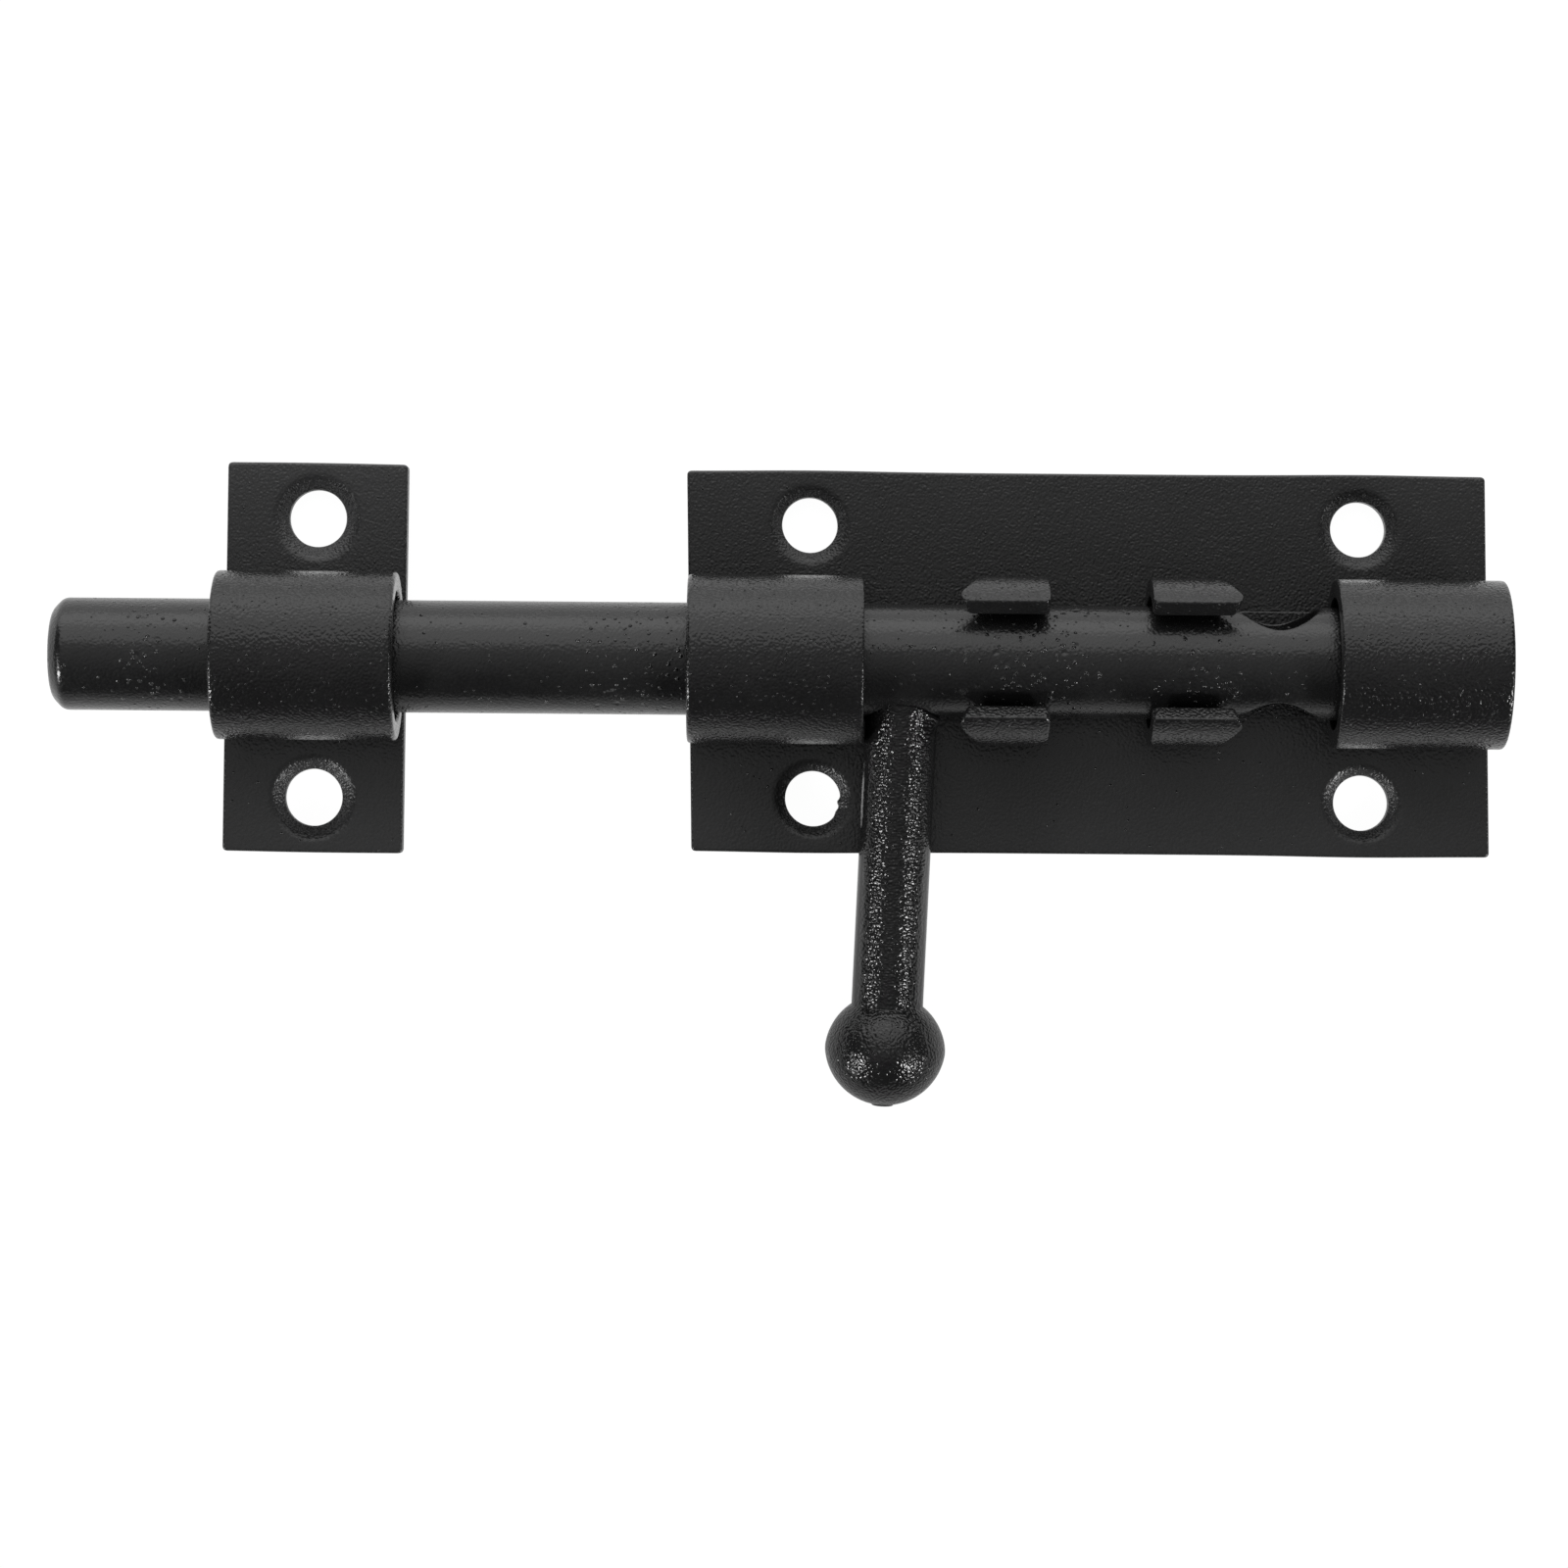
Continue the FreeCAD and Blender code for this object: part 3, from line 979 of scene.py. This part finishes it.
@dataclass
class GuideTube(Tube):
    """The tube cut away to two pairs of hook-nosed claws between two whole collars.

    Each pair of values is for the outside of the tube and for its bore. Floor, hook, tip
    and the noses' second value are degrees from the tube's top.
    """

    front: float = -24.3
    tail: float = 25.85
    claw_one: Point = (-12.3, -4.6)
    claw_two: Point = (6.15, 13.85)
    floor: Point = (139.07, 166.26)
    tip: float = 43.0
    hook: Point = (75.85, 71.69)
    nose: tuple[Point, Point] = ((1.95, 51.5), (1.255, 51.2))
    lip: Point = (1.55, 0.96)
    fineness: float = 0.6

    def half(self, side: int) -> list[tuple[float, float, float]]:
        """Half the outline of what is cut away, from the front collar to the tail collar.

        Args:
            side: 0 for the outside of the tube, 1 for its bore.

        Returns:
            For each corner its place along the bolt, its angle and the reach of its curve.
        """
        floor, hook, lip = self.floor[side], self.hook[side], self.lip[side]
        reach, drop = self.nose[side]
        (a, b), (c, d) = self.claw_one, self.claw_two
        return [
            (self.front, floor, 1.0), (a, floor, 1.0), (a, hook, 0.7), (a - reach, drop, 0.5),
            (a - lip, self.tip, 0.5), (b, self.tip, 0.75), (b, floor, 1.0), (c, floor, 1.0),
            (c, self.tip, 0.75), (d + lip, self.tip, 0.5), (d + reach, drop, 0.5),
            (d, hook, 0.7), (d, floor, 1.0), (self.tail, floor, 1.0),
        ]

    def cuts(self) -> list[Rim]:
        """The rim of the notches and the slot along the top, which are one opening.

        Returns:
            The rim, alone in a list.
        """
        loops, counts = [], []
        for side, skin in enumerate(self.skins()):
            half = self.half(side)
            whole = half + [(x, -angle, reach) for x, angle, reach in reversed(half)]
            corners = [(x, math.radians(angle) * skin.radius, reach) for x, angle, reach in whole]
            if not counts:
                ahead = corners[1:] + corners[:1]
                lengths = [math.dist(p[:2], q[:2]) for p, q in zip(corners, ahead)]
                counts = [max(int(length / self.fineness), 2) for length in lengths]
            loops.append(soft_loop(corners, counts))
        outer, inner = self.skins()
        return [Rim(outer, loops[0], inner, loops[1])]


@dataclass
class Rod(Piece):
    """The round bolt, with a chamfered nose and a cross hole for a padlock.

    The path of an end is given from the side of the rod to its middle, by the distance from
    the end and from the axis.
    """

    node: str = "bolt_rod"
    nose: float = -110.801
    tail: float = 39.199
    radius: float = 6.0
    nose_path: tuple[Point, ...] = ((2.6, 6.0), (1.4, 6.0), (0.08, 4.65), (0.0, 0.0))
    tail_path: tuple[Point, ...] = ((1.6, 6.0), (0.8, 6.0), (0.0, 5.2), (0.0, 0.0))
    end_rounds: Point = (0.55, 0.75)
    end_steps: int = 4
    step: float = 0.8
    seam_points: int = 140
    hole_x: float = 19.799
    hole_radius: float = 4.45
    hole_round: float = 0.35
    slot: ClassVar[Slot] = Slot.BOLT
    carrier: ClassVar[Carrier] = Carrier.BOLT

    def build(self) -> bpy.types.Object:
        """Builds the rod.

        Returns:
            The rod.
        """
        draft = Draft()
        skin = Skin(ROD_AXIS, self.radius)
        turns = once_round()
        for end, sign, path in ((self.nose, 1, self.nose_path), (self.tail, -1, self.tail_path)):
            rows = []
            for a in turns:
                corners = [
                    Vector((end + sign * x, r * math.sin(a), ROD_AXIS + r * math.cos(a)))
                    for x, r in path
                ]
                curve = soft_path(corners, list(self.end_rounds), self.end_steps)
                rows.append(corners[:1] + curve + corners[-1:])
            draft.weave(rows, False)
        mouths = self.mouths(skin).build(draft)
        v = math.pi * self.radius
        left, right = self.nose + self.nose_path[0][0], self.tail - self.tail_path[0][0]
        seam = np.linspace(left, right, self.seam_points)[1:-1]
        border = [(left, a * self.radius) for a in turns] + [(u, -v) for u in seam]
        border += [(right, a * self.radius) for a in turns[::-1]] + [(u, v) for u in seam[::-1]]
        draft.spread(skin, [border, *mouths], self.step)
        return draft.make(f"{self.node}_coated")

    def mouths(self, skin: Skin) -> Rim:
        """The padlock hole's wall.

        Args:
            skin: the rod's outside.

        Returns:
            The wall, from the handle's side of the rod to the other.
        """
        near: list[Point] = []
        far: list[Point] = []
        toward = -math.radians(90 + DROOP)
        for k in range(HOLE_SIDES):
            turn = -2 * math.pi * k / HOLE_SIDES
            off = math.asin(self.hole_radius * math.sin(turn) / self.radius)
            u = self.hole_x + self.hole_radius * math.cos(turn)
            near.append((u, (toward + off) * self.radius))
            far.append((u, (toward + math.pi - off) * self.radius))
        return Rim(skin, near, skin, far, self.hole_round, self.hole_round, turned=True)


@dataclass(frozen=True)
class Weld:
    """The bead round the handle's root, with a swelling on one side of it.

    Angles are in radians, from the tail side over the front. A wave has its number of
    crests, its phase and its height. A ripple has its crests round the bar and along it.
    """

    bead: float = 0.22
    bead_reach: float = 0.55
    waves: tuple[tuple[float, float, float], ...] = ((3, 0.6, 0.06), (7, 0.0, 0.04))
    swelling: float = 0.1
    swelling_turn: float = 0.2
    swelling_width: float = 0.5
    swelling_off: float = 0.55
    swelling_reach: float = 0.6
    ripples: tuple[Point, ...] = ((11, 4), (3, 7))
    unevenness: float = 0.2

    def height(self, turn: float, off: float) -> float:
        """How far the weld stands out from the bar.

        Args:
            turn: the angle round the bar.
            off: the distance from the rod.

        Returns:
            The height of the weld.
        """
        waves = sum(size * math.sin(crests * turn + phase) for crests, phase, size in self.waves)
        ripple = math.prod(math.sin(crests * turn + out * off) for crests, out in self.ripples)
        around = bell(wrapped(turn - self.swelling_turn), self.swelling_width)
        near = bell(off - self.swelling_off, self.swelling_reach)
        swelling = self.swelling * (1 + self.unevenness * (ripple - 1)) * around * near
        return (self.bead + waves) * bell(off, self.bead_reach) + swelling


@dataclass
class Handle(Piece):
    """The turned bar with a ball end, welded to the rod.

    It is drawn along -Y from the rod's axis, then hung by the droop and turned by the lean.
    """

    node: str = "handle"
    x: float = -19.901
    lean: float = 2.2
    rod: float = 6.03
    bar: float = 3.85
    reach: float = 41.45
    ball: float = 6.5
    squash: float = 0.95
    waist: float = 0.06
    shoulder: float = 0.08
    overlap: float = 0.015
    nub: float = 1.2
    nub_height: float = 0.16
    nub_edge: tuple[Point, ...] = ((-0.03, 0.05), (-0.09, 0.0))
    root: float = 3.5
    crowding: float = 1.6
    sunk: float = 0.02
    weld: Weld = Weld()
    root_steps: int = 28
    bar_steps: int = 40
    bend_steps: int = 6
    ball_steps: int = 24
    slot: ClassVar[Slot] = Slot.BOLT
    carrier: ClassVar[Carrier] = Carrier.HANDLE

    def build(self) -> bpy.types.Object:
        """Builds the bar, its ball and the weld at its root.

        Returns:
            The handle.
        """
        rows = []
        for k in range(BAR_SIDES):
            turn = 2 * math.pi * k / BAR_SIDES
            coped = self.coped_root(turn)
            turned = [
                Vector((r * math.cos(turn), y, r * math.sin(turn)))
                for r, y in self.outline(coped[-1].y)
            ]
            rows.append([Vector((0, -self.rod, 0)), *coped, *turned])
        draft = Draft()
        draft.weave(rows, True)
        place = (
            Matrix.Translation((self.x, 0, ROD_AXIS))
            @ Matrix.Rotation(math.radians(DROOP), 4, "X")
            @ Matrix.Rotation(math.radians(-self.lean), 4, "Z")
        )
        return draft.make(f"{self.node}_coated", place)

    def coped_root(self, turn: float) -> list[Vector]:
        """A line along the bar's root, from where it meets the rod to where the bar is round.

        Args:
            turn: the line's angle round the bar.

        Returns:
            The line's points, which crowd near the rod.
        """
        line = []
        for i in range(self.root_steps + 1):
            off = self.sunk + self.root * (i / self.root_steps) ** self.crowding
            radius = self.bar + self.weld.height(turn, off)
            across = radius * math.sin(turn)
            saddle = math.sqrt(self.rod ** 2 - across ** 2)
            fade = min(off / self.root, 1.0)
            start = saddle * (1 - fade) + self.rod * fade
            line.append(Vector((radius * math.cos(turn), self.sunk - start - off, across)))
        return line

    def outline(self, start: float) -> list[Vector]:
        """The turned outline, by the distance from the bar's axis and the place along it.

        Args:
            start: where the bar's root ends.

        Returns:
            The outline's points, from there to the middle of the ball's end.
        """
        meeting = math.acos(self.bar / self.ball)
        middle = math.asin(self.squash / 2 / self.ball)
        first = meeting - self.overlap
        upper = self.half_ball(-self.reach - self.squash, first, middle + self.waist)
        last = -math.acos(self.nub / self.ball)
        lower = self.half_ball(-self.reach, -middle - self.waist, last)
        corner = Vector((self.bar, self.ball * math.sin(meeting) - self.reach - self.squash))
        before = corner + Vector((0.0, self.shoulder))
        equator = Vector((self.ball * math.cos(middle), -self.reach - self.squash / 2))
        root = Vector((self.bar, start))
        line = [root.lerp(before, i / self.bar_steps) for i in range(1, self.bar_steps + 1)]
        line += bend(before, corner, upper[0], self.bend_steps)[1:] + upper[1:]
        line += bend(upper[-1], equator, lower[0], self.bend_steps)[1:] + lower[1:]
        end = lower[-1].y - self.nub_height
        line += [Vector((self.nub + out, end + up)) for out, up in self.nub_edge]
        return line + [Vector((0.0, end))]

    def half_ball(self, middle: float, start: float, end: float) -> list[Vector]:
        """An arc of the ball's outline.

        Args:
            middle: its middle's place on the bar's axis.
            start: the angle at which it starts, in radians.
            end: the angle at which it ends.

        Returns:
            The arc's points.
        """
        count = self.ball_steps
        angles = [start + (end - start) * i / count for i in range(count + 1)]
        return [Vector((self.ball * math.cos(a), middle + self.ball * math.sin(a))) for a in angles]


# The studio


@dataclass(frozen=True)
class WhiteTable:
    """A white table that dark metal mirrors less the farther it lies towards the handle, where its
    matt paper is also drawn darker as painted shade.

    Places are in millimetres across the bolt.
    """

    name: str = "white_table"
    glow: float = 1.08
    seen_share: float = 0.9
    mirrored_from: Point = (-50.0, 10.0)
    mirrored: Point = (0.1, 0.8)
    paper: float = 0.94
    # painted shade of the matt paper: its least lightness, and the steps up towards the padbolt
    painted_paper_light: float = 0.1
    painted_paper_light_from: tuple[tuple[float, float, float], ...] = ((-300.0, -30.0, 0.4), (-60.0, -5.0, 0.5))

    def make(self) -> bpy.types.Material:
        """Builds the material.

        Returns:
            The material.
        """
        material, s = Shader.of_material(self.name)
        path = s.node("ShaderNodeLightPath", {}, {})
        across = s.along("Y")
        low, high = self.mirrored_from
        least, more = self.mirrored
        mirrored = path["Is Glossy Ray"] * (across.between(low * MM, high * MM) * more + least)
        straight = path["Is Camera Ray"] * self.seen_share
        seen = s.maths("MINIMUM", straight + mirrored + path["Is Transmission Ray"], 1.0)
        # painted shade: the matt paper is drawn darker the farther it lies towards the handle, as
        # if less light fell there
        painted_paper_light: Value = self.painted_paper_light
        for low, high, share in self.painted_paper_light_from:
            painted_paper_light = across.between(low * MM, high * MM) * share + painted_paper_light
        paper = (self.paper,) * 3
        dark, pale = (
            s.node("ShaderNodeBsdfDiffuse", {}, {"Color": (*colour, 1.0)})["BSDF"]
            for colour in (BLACK, paper)
        )
        matt = s.node("ShaderNodeMixShader", {}, {"Fac": painted_paper_light, 1: dark, 2: pale})["Shader"]
        white = s.node("ShaderNodeEmission", {}, {"Strength": self.glow})["Emission"]
        both = s.node("ShaderNodeMixShader", {}, {"Fac": seen, 1: matt, 2: white})["Shader"]
        s.node("ShaderNodeOutputMaterial", {}, {"Surface": both})
        return material


@dataclass(frozen=True)
class Room:
    """A dim room, lightest above and behind the padbolt.

    A range is of the direction's X, Y and Z, which go from -1 to 1.
    """

    name: str = "room"
    dark: Colour = (0.05, 0.05, 0.05)
    light: Colour = (1.05, 1.05, 1.05)
    above: Point = (-0.12, 0.9)
    above_share: float = 0.44
    aside: Point = (0.06, 0.4)
    aside_loss: float = 0.75
    left: Point = (-0.1, 0.15)
    left_share: float = 0.2

    def make(self) -> bpy.types.World:
        """Builds the world.

        Returns:
            The world.
        """
        world = bpy.data.worlds.new(self.name)
        world.use_nodes = True
        s = Shader(world.node_tree)
        way = s.parts(s.node("ShaderNodeTexCoord", {}, {})["Generated"])
        above = ((way["Y"] + way["Z"]) * 0.5).between(*self.above)
        aside = (way["X"] * way["X"]).between(*self.aside)
        left = (way["X"] * -1).between(*self.left) * (1 - aside)
        middle = (1 - aside * self.aside_loss) * self.above_share
        colour = s.tint(above * (middle + left * self.left_share), self.dark, self.light)
        room = s.node("ShaderNodeBackground", {}, {"Color": colour, "Strength": 1.0})
        s.node("ShaderNodeOutputWorld", {}, {"Surface": room["Background"]})
        return world


@dataclass(frozen=True)
class Lamp:
    """A rectangular lamp: degrees from straight above and round the upright, and metres.

    The level is how bright its face is, where 1 is white.
    """

    name: str
    tilt: float
    turn: float
    width: float
    height: float
    level: float
    away: float = 1.0

    def build(self, aim: Vector) -> None:
        """Sets up the lamp.

        Args:
            aim: the point that it faces.
        """
        light = bpy.data.lights.new(self.name, "AREA")
        light.shape = "RECTANGLE"
        light.size, light.size_y = self.width, self.height
        light.energy = self.level * math.pi * self.width * self.height
        lamp = bpy.data.objects.new(self.name, light)
        t, a = math.radians(self.tilt), math.radians(self.turn)
        way = Vector((math.sin(t) * math.cos(a), math.sin(t) * math.sin(a), math.cos(t)))
        lamp.location = aim + way * self.away
        lamp.rotation_euler = way.to_track_quat("Z", "Y").to_euler()
        bpy.context.scene.collection.objects.link(lamp)


@dataclass
class Studio:
    """The white table, the lamps round it and the camera above it."""

    eye: tuple[float, float, float] = (-32.608, -13.277, 520.690)
    lens: float = 109.76
    roll: float = 0.00832
    aim: tuple[float, float, float] = (-30.0, -5.0, 10.0)
    table_half: float = 4000.0
    table_drop: float = 0.02
    lamps: tuple[Lamp, ...] = (
        Lamp("top_softbox", 43, 90, 1.4, 0.7, 0.93),
        Lamp("back_softbox", 76, 90, 2.4, 0.5, 1.7),
        Lamp("left_lamp", 67, 218, 0.22, 0.22, 32.0),
        Lamp("right_lamp", 65, -39, 0.22, 0.22, 32.0),
        Lamp("left_fill", 57, 196, 0.25, 0.25, 5.0),
        Lamp("right_fill", 57, -15, 0.25, 0.25, 5.0),
    )

    def build(self) -> None:
        """Sets up the camera, the table, the lamps and the room."""
        scene = bpy.context.scene
        data = bpy.data.cameras.new("camera")
        data.lens = self.lens
        data.sensor_width = 36.0
        data.clip_start = 0.01
        camera = bpy.data.objects.new("camera", data)
        camera.location = Vector(self.eye) * MM
        camera.rotation_euler = (0, 0, self.roll)
        scene.collection.objects.link(camera)
        scene.camera = camera
        scene.view_settings.view_transform = "Standard"
        self.table()
        for lamp in self.lamps:
            lamp.build(Vector(self.aim) * MM)
        scene.world = Room().make()

    def table(self) -> None:
        """Builds the table on which the padbolt lies."""
        half, level = self.table_half * MM, -self.table_drop * MM
        corners = [(-half, -half), (half, -half), (half, half), (-half, half)]
        mesh = bpy.data.meshes.new("table")
        mesh.from_pydata([(x, y, level) for x, y in corners], [], [(0, 1, 2, 3)])
        mesh.materials.append(WhiteTable().make())
        table = bpy.data.objects.new("table", mesh)
        bpy.context.scene.collection.objects.link(table)


def main() -> None:
    """Builds the studio and the pieces in order."""
    logging.basicConfig(level=logging.INFO, format="%(name)s: %(message)s")
    plate_coat = PlateCoat("plate_powder_coat", gloss=0.28, grain_depth=0.045).make()
    # the keep plate has more painted light on its sandy side and towards its long edges
    keep_coat = PlateCoat(
        "keep_powder_coat", gloss=0.28, grain_depth=0.045, side_painted_light=0.012, edge_painted_light=0.012
    ).make()
    tube_coat = PowderCoat(
        "tube_powder_coat", gloss=0.22, grain_depth=0.08,
        specks=Dots(0.6, 0.145, 0.12, 0.5), index=1.45,
    ).make()
    bolt_coat = PittedCoat("bolt_powder_coat", gloss=0.25, grain_depth=0.035).make()
    handle_coat = TurnedCoat(
        "handle_powder_coat", gloss=0.14, grain_depth=0.02, index=1.45
    ).make()
    base_screws = [
        Screw(-29.75, -14.85, 3.0, 4.15, burr=0.35), Screw(29.75, -14.85, 3.0, 4.15),
        Screw(29.75, 14.85, 3.0, 4.15), Screw(-29.75, 14.85, 3.0, 4.15),
    ]
    keep_screws = [Screw(-83.55, -15.15, 3.1, 4.55), Screw(-83.55, 15.15, 3.1, 4.55)]
    Studio().build()
    pieces: list[tuple[Piece, bpy.types.Material]] = [
        (Plate("base_plate", -43.0, 43.5, 20.75, base_screws, skew=0.019), plate_coat),
        (GuideTube("guide_tube", -43.0, 43.95), tube_coat),
        (Plate("keep_plate", -93.3, -73.8, 21.13, keep_screws, dip=0.08, turn=-0.42), keep_coat),
        (Tube("keep_collar", -93.2, -73.9), tube_coat),
        (Rod(), bolt_coat),
        (Handle(), handle_coat),
    ]
    for piece, coat in pieces:
        thing = piece.build()
        piece.dress(thing, coat)
        log.info("%s: %d faces", thing.name, len(thing.data.polygons))


if __name__ == "__main__":
    main()
